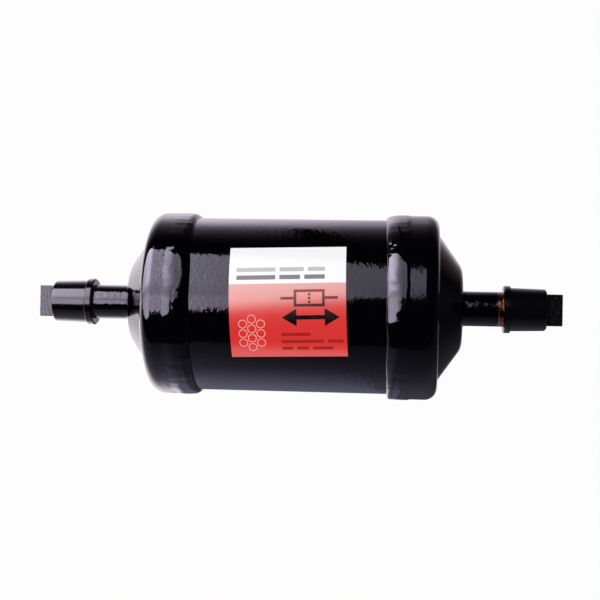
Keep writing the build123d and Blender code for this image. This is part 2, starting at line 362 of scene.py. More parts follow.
def lamp(colour, strength):
    node = room.nodes.new("ShaderNodeBackground")
    feed(room, node.inputs["Color"], colour)
    feed(room, node.inputs["Strength"], strength)
    return node.outputs[0]


def join(kind, *shaders):
    node = room.nodes.new(kind)
    sockets = [socket for socket in node.inputs if socket.type == "SHADER"]
    for socket, shader in zip(sockets, shaders):
        room.links.new(shader, socket)
    return node


light = lamp(*glows[0])
for tint, glow in glows[1:]:
    light = join("ShaderNodeAddShader", light, lamp(tint, glow)).outputs[0]
rays = room.nodes.new("ShaderNodeLightPath").outputs
lit = join("ShaderNodeMixShader", light, lamp(grey(1.0), tent_glow))
room.links.new(rays["Is Diffuse Ray"], lit.inputs["Fac"])
seen = join("ShaderNodeMixShader", lit.outputs[0], lamp(grey(1.0), paper_white))
room.links.new(rays["Is Camera Ray"], seen.inputs["Fac"])
room.links.new(seen.outputs[0], room.nodes.new("ShaderNodeOutputWorld").inputs["Surface"])
world.cycles.sampling_method = "NONE"
print("room of", len(room.nodes), "nodes")

# %% [markdown]
# The drier hangs over a pale floor, well below it, so that its shadow is soft and out of the frame.
# The floor shows to the camera alone: the table that the enamel mirrors is already in the room above.
# A shadow catcher would leave the picture see-through, so the floor is plain paint. Near the drier
# part of its white is real shading, which takes the shadow, and farther out it glows plain white and
# runs into the background without a horizon.

# %% Lay the floor
floor_drop = 300 * MM
floor_half = 6.0
shadow_reach = 0.5
shadow_albedo = 0.4
shadow_glow = 0.45  # what the glow gives where the floor is shaded
floor_mesh = bpy.data.meshes.new("floor")
signs = ((-1, -1), (1, -1), (1, 1), (-1, 1))
corners = [(x * floor_half, y * floor_half, -floor_drop) for x, y in signs]
floor_mesh.from_pydata(corners, [], [(0, 1, 2, 3)])
floor = bpy.data.objects.new("floor", floor_mesh)
scene.collection.objects.link(floor)
floor.visible_glossy = False
floor.visible_diffuse = False
floor.visible_transmission = False

floor_paint = bpy.data.materials.new("pale_floor")
floor_paint.use_nodes = True
tree = floor_paint.node_tree
surface = tree.nodes["Principled BSDF"].inputs
place = tree.nodes.new("ShaderNodeTexCoord").outputs["Object"]
length = tree.nodes.new("ShaderNodeVectorMath")
length.operation = "LENGTH"
tree.links.new(place, length.inputs[0])
far = ease(tree, length.outputs["Value"], floor_drop, floor_drop + shadow_reach)
surface["Roughness"].default_value = 0.9
surface["Specular IOR Level"].default_value = 0.0
feed(tree, surface["Base Color"], mix_colours(tree, far, grey(shadow_albedo), grey(0.0)))
surface["Emission Color"].default_value = grey(1.0)
glow = ease(tree, far, 0, 1, shadow_glow, paper_white, "LINEAR")
feed(tree, surface["Emission Strength"], glow)
floor.data.materials.append(floor_paint)
print("floor", floor_drop, "m below the drier's axis")

# %% [markdown]
# Every finish is a Principled material with relief. `finish` makes the material, and `set_inputs`
# feeds its sockets. `grain` is noise with features of one real size, and `nibs` are small bumps
# scattered about. The real size matters: the same noise is paint at 2 mm and cast iron at 10 mm.
# Reliefs are heights in metres, added together and sent through one Bump node.

# %% Make helpers for finishes


def set_inputs(tree, shader, **values):
    """Feeds the shader's sockets by name, with an underscore for each space."""
    for socket, value in values.items():
        feed(tree, shader.inputs[socket.replace("_", " ")], value)


def finish(name, colour, roughness, **values):
    """A Principled material with plain values on its sockets, to be worked up with more nodes."""
    material = bpy.data.materials.new(name)
    material.use_nodes = True
    shader = material.node_tree.nodes["Principled BSDF"]
    set_inputs(material.node_tree, shader, Base_Color=rgb(*colour), Roughness=roughness, **values)
    return material, material.node_tree, shader


def place_on(tree):
    """Where a point lies on its piece, in metres."""
    for node in tree.nodes:
        if node.type == "TEX_COORD":
            return node.outputs["Object"]
    return tree.nodes.new("ShaderNodeTexCoord").outputs["Object"]


def grain(tree, size, detail=2.0, stretch=(1, 1, 1), roughness=0.5):
    """Noise about 0.5 with features of one size, in metres, drawn out along an axis by stretch."""
    node = tree.nodes.new("ShaderNodeTexNoise")
    node.inputs["Scale"].default_value = 1 / size
    node.inputs["Detail"].default_value = detail
    node.inputs["Roughness"].default_value = roughness
    where = place_on(tree)
    if stretch != (1, 1, 1):
        scale = tree.nodes.new("ShaderNodeVectorMath")
        scale.operation = "DIVIDE"
        tree.links.new(where, scale.inputs[0])
        scale.inputs[1].default_value = stretch
        where = scale.outputs[0]
    tree.links.new(where, node.inputs["Vector"])
    return node.outputs["Fac"]


def nibs(tree, spacing, size):
    """Small bumps scattered about one spacing apart, most of them too small to see."""
    node = tree.nodes.new("ShaderNodeTexVoronoi")
    node.inputs["Scale"].default_value = 1 / spacing
    tree.links.new(place_on(tree), node.inputs["Vector"])
    bump = ease(tree, node.outputs["Distance"], 0, size / spacing, 1, 0)
    lucky = tree.nodes.new("ShaderNodeSeparateColor")
    tree.links.new(node.outputs["Color"], lucky.inputs[0])
    return times(tree, bump, ease(tree, lucky.outputs[0], 0.72, 0.95))


def along_axis(tree):
    """How far to the right of the drier's middle a point lies, in metres."""
    split = tree.nodes.new("ShaderNodeSeparateXYZ")
    tree.links.new(place_on(tree), split.inputs[0])
    return split.outputs["X"]


def emboss(tree, shader, *layers):
    """Adds layers of (height, depth in metres) and sends them through one Bump node."""
    total = 0.0
    for height, depth in layers:
        total = plus(tree, total, times(tree, height, depth))
    node = tree.nodes.new("ShaderNodeBump")
    node.inputs["Strength"].default_value = 1.0
    node.inputs["Distance"].default_value = 1.0
    tree.links.new(total, node.inputs["Height"])
    tree.links.new(node.outputs["Normal"], shader.inputs["Normal"])


def paint_piece(name, material):
    nodes[name].material_slots[0].material = material


print("helpers for finishes are ready")

# %% [markdown]
# The enamel is a dipped and baked gloss black. Three things tell it from black glass: orange peel,
# which is a soft ripple a few millimetres across that frays the edges of every reflection; a slow
# sag of the film, a few centimetres across; and nibs, which are specks of dust under the paint.
# The paint's own colour is nearly nothing, and its specular tint is a cool violet, as on the drier:
# dark greys look blue on it.
#
# The left end has a few flaws one can point at: a small crater, and specks that were painted over.
# Each is a round spot at its own place on the skirt.

# %% Mix the black enamel
enamel_black = (0.0007, 0.0007, 0.0012)
enamel_tint = rgb(0.86, 0.82, 1.0)
enamel_ior = 1.53
enamel_roughness = 0.035
peel_size, peel_depth = 1.7 * MM, 0.04 * MM
sag_size, sag_depth = 26 * MM, 0.12 * MM
nib_spacing, nib_size, nib_depth = 6 * MM, 0.5 * MM, 0.05 * MM
left_flaws = [  # along X in mm, degrees up from the front, radius in mm, height in mm
    (-49.8, 29.9, 0.75, -0.35), (-49.9, 28.9, 0.4, 0.12), (-45.6, 20.0, 0.55, 0.14),
    (-46.1, 17.8, 0.45, 0.1), (-48.2, 38.5, 0.5, 0.14),
]


def flaw(tree, x, up, radius):
    """A round spot on a skirt: at x along the drier and up degrees from its front, all in mm."""
    skirt, angle = skirt_radius / MM, math.radians(up)
    off = tree.nodes.new("ShaderNodeVectorMath")
    off.operation = "DISTANCE"
    tree.links.new(place_on(tree), off.inputs[0])
    off.inputs[1].default_value = Vector((x, -skirt * math.cos(angle), skirt * math.sin(angle))) * MM
    return ease(tree, off.outputs["Value"], radius * MM, 0, 0, 1)


def enamel(name, peel=1.0, flaws=()):
    material, tree, shader = finish(
        name, enamel_black, enamel_roughness, IOR=enamel_ior, Specular_Tint=enamel_tint)
    smears = grain(tree, 9 * MM, 4)
    dull = ease(tree, smears, 0.35, 0.75, enamel_roughness, enamel_roughness + 0.05)
    set_inputs(tree, shader, Roughness=dull)
    emboss(
        tree, shader,
        (grain(tree, peel_size, 1.5), peel_depth * peel),
        (grain(tree, sag_size, 1.0), sag_depth),
        (nibs(tree, nib_spacing, nib_size), nib_depth),
        *[(flaw(tree, x, up, radius), height * MM) for x, up, radius, height in flaws],
    )
    return material


shell_enamel = enamel("black_enamel")
paint_piece("shell_barrel", shell_enamel)
paint_piece("right_end_cap", shell_enamel)
paint_piece("left_end_cap", enamel("left_end_enamel", flaws=left_flaws))
print("enamel on the shell, peel", round(peel_size / MM, 2), "mm across")

# %% [markdown]
# New pieces are plain meshes. Round pieces are swept: a closed outline of (x, radius) is set at each
# step round the drier's axis, and faces join each outline to the next. The outline may change on
# the way, which a Screw modifier could not do. `add_piece` makes a piece from points and faces, hangs
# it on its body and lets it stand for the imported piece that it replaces.

# %% Make helpers for new pieces


def sweep(outlines, sign, start=0.0):
    """Points and faces of a ring through one outline for each step; sign is -1 at the left end."""
    steps, count = len(outlines), len(outlines[0])
    points, faces = [], []
    for step, outline in enumerate(outlines):
        angle = 2 * math.pi * step / steps + start
        points += [(sign * x, -r * math.cos(angle), r * math.sin(angle)) for x, r in outline]
        here, there = step * count, (step + 1) % steps * count
        for low in range(count):
            high = (low + 1) % count
            faces.append((here + low, here + high, there + high, there + low))
    return points, faces


def add_mesh(name, shape, material):
    """Makes an object of a bmesh, smooth but for its sharp edges."""
    mesh = bpy.data.meshes.new(name)
    shape.to_mesh(mesh)
    shape.free()
    mesh.shade_smooth()
    mesh.set_sharp_from_angle(angle=math.radians(50))
    mesh.materials.append(material)
    piece = bpy.data.objects.new(name, mesh)
    scene.collection.objects.link(piece)
    return piece


def add_piece(name, points, faces, material, body="drier", stands_for=None):
    shape = bmesh.new()
    corners = [shape.verts.new(point) for point in points]
    for face in faces:
        shape.faces.new([corners[corner] for corner in face])
    bmesh.ops.recalc_face_normals(shape, faces=shape.faces)
    piece = add_mesh(name, shape, material)
    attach(piece, body)
    if stands_for:
        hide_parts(stands_for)
    return piece


print("helpers for new pieces are ready")

# %% [markdown]
# A weld bead fills the corner between the barrel and the skirt of an end. Seen in section it climbs
# steeply from its toe on the barrel, like a quarter of an ellipse, to its brow, goes nearly level to
# a crown just over the skirt, and sinks slowly onto the skirt. The beads were laid by hand, so the
# toe, the brow, the crown and the far edge all wander as they go round, and each has lumps. The left
# bead runs out flatter than the right one. A few beads of spatter stuck to the right one before it
# was painted.
#
# Each of these places is given at the front, top, back and bottom of the drier, in mm from its
# middle, and a cosine leads from one to the next.

# %% Give the sizes of the weld beads
bead_steps = 440  # round the barrel
flank_steps, brow_steps, back_steps = 18, 6, 8
root_radius = barrel_radius - 0.05 * MM
bead_shapes = {
    # over: how far the crown stands over the skirt; slant: of the brow, in degrees
    "left": {
        "toe": (39.3, 41.6, 40.2, 39.6), "brow": (43.6, 44.6, 44.0, 44.0),
        "crown": (46.9, 47.6, 47.0, 46.6), "far": (51.2, 51.4, 51.0, 51.0),
        "over": 0.10, "slant": 4.0, "waver": 0.25, "lumps": 0.012, "seed": 3.0,
    },
    "right": {
        "toe": (39.4, 37.9, 39.0, 39.3), "brow": (46.4, 44.4, 44.4, 41.2),
        "crown": (47.2, 46.4, 46.8, 47.0), "far": (48.9, 48.9, 49.2, 49.0),
        "over": 0.26, "slant": 2.5, "waver": 0.3, "lumps": 0.022, "seed": 11.0,
    },
}
marks = {  # spatter and dents: along X in mm, degrees up from the front, radius and height in mm
    "left": [(44.2, 52.0, 0.6, 0.12), (42.0, 60.0, 0.7, 0.15), (45.4, 20.0, 0.35, 0.08)],
    "right": [
        (40.2, 42.6, 0.5, 0.42), (42.2, 40.8, 0.42, 0.34), (43.6, 41.2, 0.42, 0.34),
        (44.7, 38.9, 0.4, 0.28), (41.0, 36.0, 2.4, -0.14), (44.8, 36.4, 2.2, -0.12),
        (40.2, 31.0, 0.7, 0.12),
    ],
}
print(sum(len(spots) for spots in marks.values()), "spots of spatter and dents")

# %% [markdown]
# Two places need more than that. In front the left bead's brow comes nearest to its toe a third of
# the way up, so its level part is widest there. And below, the right bead rises nearly like a step:
# its flank goes from an ellipse towards a square, by a power below 1 on the sine and cosine.

# %% Draw a bead's section


def waver(angle, seed, turns):
    """A smooth random swing between about -1 and 1, which closes on itself after a full turn."""
    return 2 * noise.noise(Vector((turns * math.cos(angle), turns * math.sin(angle), seed)))


def around(four, angle):
    """Goes smoothly through four values, at the front, top, back and bottom."""
    turn = angle / (math.pi / 2) % 4
    step = int(turn)
    share = (1 - math.cos(math.pi * (turn - step))) / 2
    return four[step] * (1 - share) + four[(step + 1) % 4] * share


def left_swell(up):
    """Where the left bead's brow lies in front, in mm, at so many degrees up."""
    nearest, nearest_up, most_more = 43.3, 17, 2.8
    steepness = 0.011 if up > nearest_up else 0.03
    return nearest + min(most_more, steepness * (up - nearest_up) ** 2)


def squareness(side, up):
    """1 for a flank like an ellipse, and less for one like a step (the right bead, below)."""
    starts, spread, most = -20, 45, 0.5  # degrees up, degrees, and how much it changes
    below = min(max((starts - up) / spread, 0), 1) if side == "right" and up < starts else 0
    return 1 - most * below * below * (3 - 2 * below)


def bead_outline(side, angle):
    """Points (distance from the middle, radius) from the toe to the far edge, in metres."""
    shape = bead_shapes[side]
    swing = [shape["waver"] * waver(angle, shape["seed"] + 7 * n, 4 + 3 * n) for n in range(4)]
    toe = around(shape["toe"], angle) + swing[0]
    crown = around(shape["crown"], angle) + 1.4 * swing[1]
    far = around(shape["far"], angle) + swing[2]
    skirt = skirt_radius / MM
    top = min(skirt + shape["over"] + 0.2 * swing[3], bead_crown / MM - 0.02)
    up = math.degrees(angle)
    brow = around(shape["brow"], angle) + swing[1]
    if side == "left" and -20 < up < 40:
        brow = left_swell(up) + 0.4 * swing[1]
    brow = min(max(brow, toe + 1.5), crown - 0.6)
    brow_radius = top - math.tan(math.radians(shape["slant"])) * (crown - brow) / 2
    low = root_radius / MM
    rest = skirt - 0.03
    square = squareness(side, up)
    bow = 1.15 if square > 0.99 else 1 + 0.15 * (2 * square - 1)
    points = []
    for step in range(flank_steps):  # from the toe up to the brow
        turn = math.pi / 2 * step / flank_steps
        run, rise = (1 - math.cos(turn) ** square) ** bow, math.sin(turn) ** square
        points.append((toe + (brow - toe) * run, low + (brow_radius - low) * rise))
    for step in range(brow_steps):  # over the brow to the crown
        share = step / brow_steps
        points.append((brow + (crown - brow) * share, top - (top - brow_radius) * (1 - share) ** 2))
    for step in range(back_steps + 1):  # down onto the skirt
        share = step / back_steps
        sunk = (1 + math.cos(math.pi * share)) / 2
        points.append((crown + (far - crown) * share, rest + (top - rest) * sunk))
    return [(x * MM, r * MM) for x, r in points]


print("a bead's section has", len(bead_outline("left", 0.0)), "points")

# %% [markdown]
# Lumps and spatter are heights too, but real ones, moved into the mesh: they are large enough to
# show on the bead's edge. The lumps fade out at both edges of the bead, so that it still ends on the
# barrel and on the skirt.

# %% Lay the weld beads
swell_size, swell_tall, lump_size = 5.5, 0.04, 1.9  # mm


def lump(side, angle, x, share):
    """How much the bead stands out at a place over its plain section, in metres."""
    seed = bead_shapes[side]["seed"]
    spot = Vector((x, barrel_radius * math.cos(angle), barrel_radius * math.sin(angle))) / MM
    height = swell_tall * noise.noise(spot / swell_size + Vector((seed, 0, 0)))
    height += bead_shapes[side]["lumps"] * noise.noise(spot / lump_size)
    height *= math.sin(math.pi * min(max(share, 0), 1)) ** 0.5
    for along, up, radius, tall in marks[side]:
        off = math.hypot(x / MM - along, skirt_radius / MM * (angle - math.radians(up)))
        height += tall * math.exp(-((off / radius) ** 2) * 1.5)
    return height * MM


def bead_loop(side, angle):
    """A bead's outline with its lumps, closed through the corner that it fills."""
    loop = bead_outline(side, angle)
    last = len(loop) - 1
    for spot in range(1, last):
        x, radius = loop[spot]
        loop[spot] = (x, min(radius + lump(side, angle, x, spot / last), bead_crown))
    return loop + [(skirt_edge, skirt_radius - 0.5 * MM), (skirt_edge, root_radius)]


bead_enamel = enamel("bead_enamel", peel=0.8)
bead_start = -math.pi / 2
for side, sign in (("left", -1), ("right", 1)):
    angles = [2 * math.pi * step / bead_steps + bead_start for step in range(bead_steps)]
    loops = [bead_loop(side, angle) for angle in angles]
    points, faces = sweep(loops, sign, bead_start)
    add_piece(f"{side}_bead", points, faces, bead_enamel, stands_for=f"{side}_weld_bead")
    print(side, "bead of", len(faces), "faces")

# %% [markdown]
# The label is a square of glossy film wrapped on the barrel, a little askew. Its middle, size and
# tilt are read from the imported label: its points are unrolled flat, and its four corners are those
# that lie farthest out along the two diagonals. A place on the film is then told by `u` to the right
# and `v` up, in millimetres from its middle, and `wrap` lays such a place back on the barrel.

# %% Find the label
label_radius = -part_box("label")[0].y
unrolled = [
    (v.co.x, math.atan2(v.co.z, -v.co.y) * label_radius) for v in nodes["label"].data.vertices
]


def label_corner(right, up):
    return Vector(max(unrolled, key=lambda point: right * point[0] + up * point[1]))


lower_left, upper_left = label_corner(-1, -1), label_corner(-1, 1)
lower_right, upper_right = label_corner(1, -1), label_corner(1, 1)
label_middle = (lower_left + upper_left + lower_right + upper_right) / 4
across = (upper_right + lower_right - upper_left - lower_left) / 2
upward = (upper_right + upper_left - lower_right - lower_left) / 2
label_wide, label_tall = across.length / MM, upward.length / MM
label_tilt = math.atan2(across.y, across.x)


def wrap(u, v, radius):
    """The place on the barrel for u and v, in mm on the label, at a radius in metres."""
    cos, sin = math.cos(label_tilt), math.sin(label_tilt)
    x = label_middle.x + (u * cos - v * sin) * MM
    angle = (label_middle.y + (u * sin + v * cos) * MM) / label_radius
    return (x, -radius * math.cos(angle), radius * math.sin(angle))


tilt_degrees = math.degrees(label_tilt)
print(f"label {label_wide:.1f} by {label_tall:.1f} mm, tilted {tilt_degrees:.2f} degrees")

# %% [markdown]
# The film is printed white at its head, and below that in a red that starts pale, is full at two
# thirds of the way down and pales again at the foot. A print is mostly an image texture, but this one
# is plain enough for nodes, and those stay sharp at any distance. A UV map carries each point's place
# on the label, and two curves turn its height into red and green. The fade isn't quite level: it
# slopes one way in its upper part and the other way at the foot. The film is smooth and nearly as
# glossy as the enamel, with a faint ripple and cloudiness.

# %% Print the film
film_roughness = 0.16
print_red = [
    (-23.5, 0.75), (-18.0, 0.74), (-16.0, 0.715), (-6.0, 0.715), (-2.0, 0.73), (1.0, 0.79),
    (23.5, 0.79),
]
print_green = [
    (-24.5, 0.12), (-21.5, 0.105), (-20.2, 0.08), (-18.6, 0.04), (-16.8, 0.028), (-11.0, 0.03),
    (-7.5, 0.038), (-5.0, 0.052), (-3.0, 0.08), (-1.2, 0.15), (0.5, 0.25), (2.5, 0.33), (5.0, 0.37),
    (7.0, 0.39), (23.5, 0.39),
]
blue_share = 0.93  # of the green
fade_slope, foot_slope = 0.04, -0.045
white_from = 7.08  # height at which the white head starts
head_white = rgb(0.95, 0.94, 0.95)


def label_place(tree):
    """u and v on the label, in mm, from its UV map."""
    split = tree.nodes.new("ShaderNodeSeparateXYZ")
    tree.links.new(tree.nodes.new("ShaderNodeUVMap").outputs[0], split.inputs[0])
    u = times(tree, minus(tree, split.outputs["X"], 0.5), label_wide)
    v = times(tree, minus(tree, split.outputs["Y"], 0.5), label_tall)
    return u, v


def film_gloss(tree, shader):
    cloudy = ease(tree, grain(tree, 5 * MM, 3), 0.3, 0.7, film_roughness, film_roughness + 0.05)
    set_inputs(tree, shader, Roughness=cloudy)
    emboss(tree, shader, (grain(tree, 9 * MM, 1), 0.03 * MM), (grain(tree, 1.2 * MM, 2), 0.0012 * MM))


label_film, tree, shader = finish("label_film", (0.8, 0.3, 0.3), film_roughness, IOR=1.5)
u, v = label_place(tree)
slope = ease(tree, v, -14, -6, foot_slope, fade_slope)
fade_height = minus(tree, v, times(tree, u, slope))
red = curve(tree, fade_height, print_red, -23.5, 23.5, 1)
green = curve(tree, fade_height, print_green, -24.5, 23.5, 1)
mixed = tree.nodes.new("ShaderNodeCombineColor")
for channel, value in zip(mixed.inputs, (red, green, times(tree, green, blue_share))):
    feed(tree, channel, value)
head = ease(tree, v, white_from - 0.15, white_from + 0.15)
set_inputs(tree, shader, Base_Color=mix_colours(tree, head, mixed.outputs[0], head_white))
film_gloss(tree, shader)
print("the white head starts", white_from, "mm over the label's middle")

# %% [markdown]
# The sheet and every ink on it are slabs: outlines drawn flat, cut into narrow rows so that they can
# bend, thickened, and wrapped on the barrel. A Shrinkwrap or Simple Deform modifier could bend them
# too, but the sum is short and exact. The UV map is taken while the slab is still flat.

# %% Lay the film
film_thick = 0.13 * MM
row_tall = 1.2  # mm, of a slab's rows


def wrapped_slab(name, outlines, low, high, material, stands_for=None):
    """Flat outlines of (u, v) as one slab on the barrel, from one radius to another."""
    shape = bmesh.new()
    for outline in outlines:
        shape.faces.new([shape.verts.new((u, v, 0)) for u, v in outline])
    for cut in np.arange(-0.5 * label_tall, 0.5 * label_tall, row_tall):
        whole = list(shape.verts) + list(shape.edges) + list(shape.faces)
        bmesh.ops.bisect_plane(shape, geom=whole, plane_co=(0, cut, 0), plane_no=(0, 1, 0))
    bmesh.ops.recalc_face_normals(shape, faces=shape.faces)
    raised = bmesh.ops.extrude_face_region(shape, geom=list(shape.faces), use_keep_orig=True)
    for part in raised["geom"]:
        if isinstance(part, bmesh.types.BMVert):
            part.co.z = 1
    bmesh.ops.recalc_face_normals(shape, faces=shape.faces)
    place = shape.loops.layers.uv.new("UVMap")
    for face in shape.faces:
        for corner in face.loops:
            flat = corner.vert.co
            corner[place].uv = (flat.x / label_wide + 0.5, flat.y / label_tall + 0.5)
    for vert in shape.verts:
        vert.co = wrap(vert.co.x, vert.co.y, low if vert.co.z < 0.5 else high)
    piece = add_mesh(name, shape, material)
    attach(piece, "drier")
    if stands_for:
        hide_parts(stands_for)
    return piece


def box_outline(left, right, foot, head):
    return [(left, foot), (right, foot), (right, head), (left, head)]


sheet = box_outline(-0.5 * label_wide, 0.5 * label_wide, -0.5 * label_tall, 0.5 * label_tall)
film_top = barrel_radius + film_thick
wrapped_slab("label_sheet", [sheet], barrel_radius, film_top, label_film, "label")
print(f"film {film_thick / MM:.2f} mm thick")

# %% [markdown]
# The print is generic: bars, a sign, an arrow and rings, in six inks. Each ink is a thin slab on the
# film, with the film's own gloss. A mask in the film's material could draw them as well, but slabs
# have crisp edges of their own. The brown ink pales upwards with the red under it.

# %% Mix the inks
ink_low, ink_high = film_top - 0.005 * MM, label_radius - 0.005 * MM


def ink(name, colour):
    material, tree, shader = finish(name, colour, film_roughness, IOR=1.5)
    film_gloss(tree, shader)
    return material, tree, shader


grey_ink, _, _ = ink("light_grey_ink", (0.50, 0.49, 0.50))
slate_ink, _, _ = ink("slate_ink", (0.17, 0.16, 0.18))
dark_red_ink, _, _ = ink("dark_red_ink", (0.40, 0.012, 0.009))
pale_ink, _, _ = ink("pale_ink", (0.93, 0.38, 0.33))
black_ink, _, _ = ink("black_ink", (0.006, 0.0015, 0.0015))
brown_ink, tree, shader = ink("brown_ink", (0.1, 0.005, 0.005))
_, v = label_place(tree)
faded = ease(tree, v, -2.4, 4.6)
brown = mix_colours(tree, faded, rgb(0.045, 0.0, 0.0), rgb(0.25, 0.016, 0.016))
set_inputs(tree, shader, Base_Color=brown)
print(f"inks {(ink_high - film_top) / MM:.3f} mm over the film")

# %% [markdown]
# Plain bars stand where words would be, two rows in the head and three at the foot. A row is a list
# of lengths, in mm, as a line of words has them.

# %% Draw the rows of bars
word_gap = 1.7
head_left, foot_left = -20.3, -2.6


def word_row(words, left, middle, tall):
    """Bars as long as words, one after another from the left."""
    outlines = []
    for long in words:
        outlines.append(box_outline(left, left + long, middle - tall / 2, middle + tall / 2))
        left += long + word_gap
    return outlines


first_row = word_row((15.5, 9.6, 6.7), head_left, 13.0, 1.7)
second_row = word_row((15.5, 8.2, 8.1), head_left, 9.7, 1.8)
foot_rows = []
for words, middle in (((11.4,), -13.5), ((16.6, 6.2), -16.5), ((4.2, 4.6, 8.2), -19.5)):
    foot_rows += word_row(words, foot_left, middle, 1.3)
print(len(first_row) + len(second_row) + len(foot_rows), "bars")

# %% [markdown]
# The sign for a filter on a pipe drawing is a box with a dashed line across it and a pipe at each
# side. Its strokes are boxes that meet edge to edge, because slabs that overlapped would flicker.

# %% Draw the sign for a filter
sign_left, sign_right, sign_foot, sign_head, stroke = -2.6, 20.1, -2.3, 4.5, 1.05
pipe_long = 5.2
box_left, box_right = sign_left + pipe_long, sign_right - pipe_long
sign_middle, dash_middle = (sign_foot + sign_head) / 2, (box_left + box_right) / 2
side_foot, side_head = sign_foot + stroke, sign_head - stroke
pipe_foot, pipe_head = sign_middle - stroke / 2, sign_middle + stroke / 2
filter_sign = [
    box_outline(box_left, box_right, sign_foot, side_foot),
    box_outline(box_left, box_right, side_head, sign_head),
    box_outline(box_left, box_left + stroke, side_foot, side_head),
    box_outline(box_right - stroke, box_right, side_foot, side_head),
    box_outline(sign_left, box_left, pipe_foot, pipe_head),
    box_outline(box_right, sign_right, pipe_foot, pipe_head),
]
for dash_foot in (-0.95, 0.55, 2.05):
    dash = box_outline(dash_middle - 0.45, dash_middle + 0.45, dash_foot, dash_foot + 1.0)
    filter_sign.append(dash)
print("filter sign of", len(filter_sign), "strokes")

# %% [markdown]
# A double arrow says that the liquid may flow either way: two triangles on a bar. Beside it, pale
# rings in three staggered columns stand for the beads of desiccant. A ring is a row of small
# four-sided outlines, because one outline can't have a hole in it.

# %% Draw the double arrow and the rings
left_tip, right_tip, arrow_v = -2.2, 20.6, -6.6
head_long, head_half, shaft_half = 5.8, 3.55, 0.82
left_neck, right_neck = left_tip + head_long, right_tip - head_long
double_arrow = [
    [(left_tip, arrow_v), (left_neck, arrow_v - head_half), (left_neck, arrow_v + head_half)],
    [(right_tip, arrow_v), (right_neck, arrow_v + head_half), (right_neck, arrow_v - head_half)],
    box_outline(left_neck, right_neck, arrow_v - shaft_half, arrow_v + shaft_half),
]
ring_columns = ((3, -18.0), (4, -14.4), (3, -10.8))  # how many rings, and their u
ring_v, ring_pitch, ring_radius, ring_stroke, ring_sides = -12.9, 3.95, 1.62, 0.36, 22


def ring_outlines(u, v):
    """A ring as a row of small four-sided outlines."""
    def spot(step, radius):
        angle = 2 * math.pi * step / ring_sides
        return (u + radius * math.cos(angle), v + radius * math.sin(angle))

    inner, outer = ring_radius - ring_stroke / 2, ring_radius + ring_stroke / 2
    return [
        [spot(step, inner), spot(step, outer), spot(step + 1, outer), spot(step + 1, inner)]
        for step in range(ring_sides)
    ]


rings = []
for count, u in ring_columns:
    for row in range(count):
        rings += ring_outlines(u, ring_v + ring_pitch * (row - (count - 1) / 2))
print(sum(count for count, _ in ring_columns), "rings")

# %% [markdown]
# With all outlines drawn, each ink is laid on the film in one piece. The inks are a few hundredths
# of a millimetre thick, just enough not to sink into the film.

# %% Lay the inks
for name, outlines, material in (
    ("head_row_light", first_row, grey_ink),
    ("head_row_dark", second_row, slate_ink),
    ("filter_sign", filter_sign, brown_ink),
    ("double_arrow", double_arrow, black_ink),
    ("ring_pattern", rings, pale_ink),
    ("foot_rows", foot_rows, dark_red_ink),
):
    piece = wrapped_slab(name, outlines, ink_low, ink_high, material)
    print(name, "of", len(piece.data.polygons), "faces")

# %% [markdown]
# The stubs are copper-plated. The enamel stops short of their ends in a ragged edge, so a ring of
# bare copper shows beside each cap, tarnished in patches. Two materials on two sets of faces would part
# along the mesh's edges, so one material does for both, with a mask that noise makes ragged. The
# enamel is thicker and lumpier on the stubs than on the shell, and the step down from its edge to the
# copper is a relief too.

# %% Coat the stubs
paint_ends = {1: 84.6 * MM, -1: 86.4 * MM}  # where the enamel stops on the right stub and the left
ragged_by = 1.6 * MM
edge_blur = 0.15 * MM
stub_enamel, tree, shader = finish(
    "stub_enamel", enamel_black, 0.06, IOR=enamel_ior, Specular_Tint=enamel_tint)
along = along_axis(tree)
ragged = times(tree, minus(tree, grain(tree, 2.5 * MM, 2), 0.5), ragged_by)
bare = 0.0
for way, end in paint_ends.items():
    out = plus(tree, times(tree, along, way), ragged)
    bare = plus(tree, bare, ease(tree, out, end - edge_blur, end + edge_blur))
dull = ease(tree, grain(tree, 1.5 * MM, 3), 0.35, 0.65)
tarnish = mix_colours(tree, dull, rgb(0.62, 0.27, 0.18), rgb(0.22, 0.09, 0.065))
set_inputs(
    tree, shader, Base_Color=mix_colours(tree, bare, rgb(*enamel_black), tarnish),
    Metallic=bare, Roughness=ease(tree, bare, 0, 1, 0.05, 0.16),
)
emboss(
    tree, shader,
    (grain(tree, 1.1 * MM, 2, (1.6, 1, 1)), 0.07 * MM), (grain(tree, 5 * MM, 1), 0.06 * MM),
    (bare, -0.06 * MM), (nibs(tree, 3 * MM, 0.4 * MM), 0.04 * MM),
)
for name in ("left_connector", "right_connector", "left_braze_ring", "right_braze_ring"):
    paint_piece(name, stub_enamel)
print("enamel up to", [round(end / MM, 1) for end in paint_ends.values()], "mm from the middle")

# %% [markdown]
# The shipping caps are moulded in black vinyl. The cup is smooth from its polished mould and shines
# softly, and the flat tab on its end has the coarse grain of an eroded one. One material does for
# both: the distance from the drier's middle tells where the tab begins.

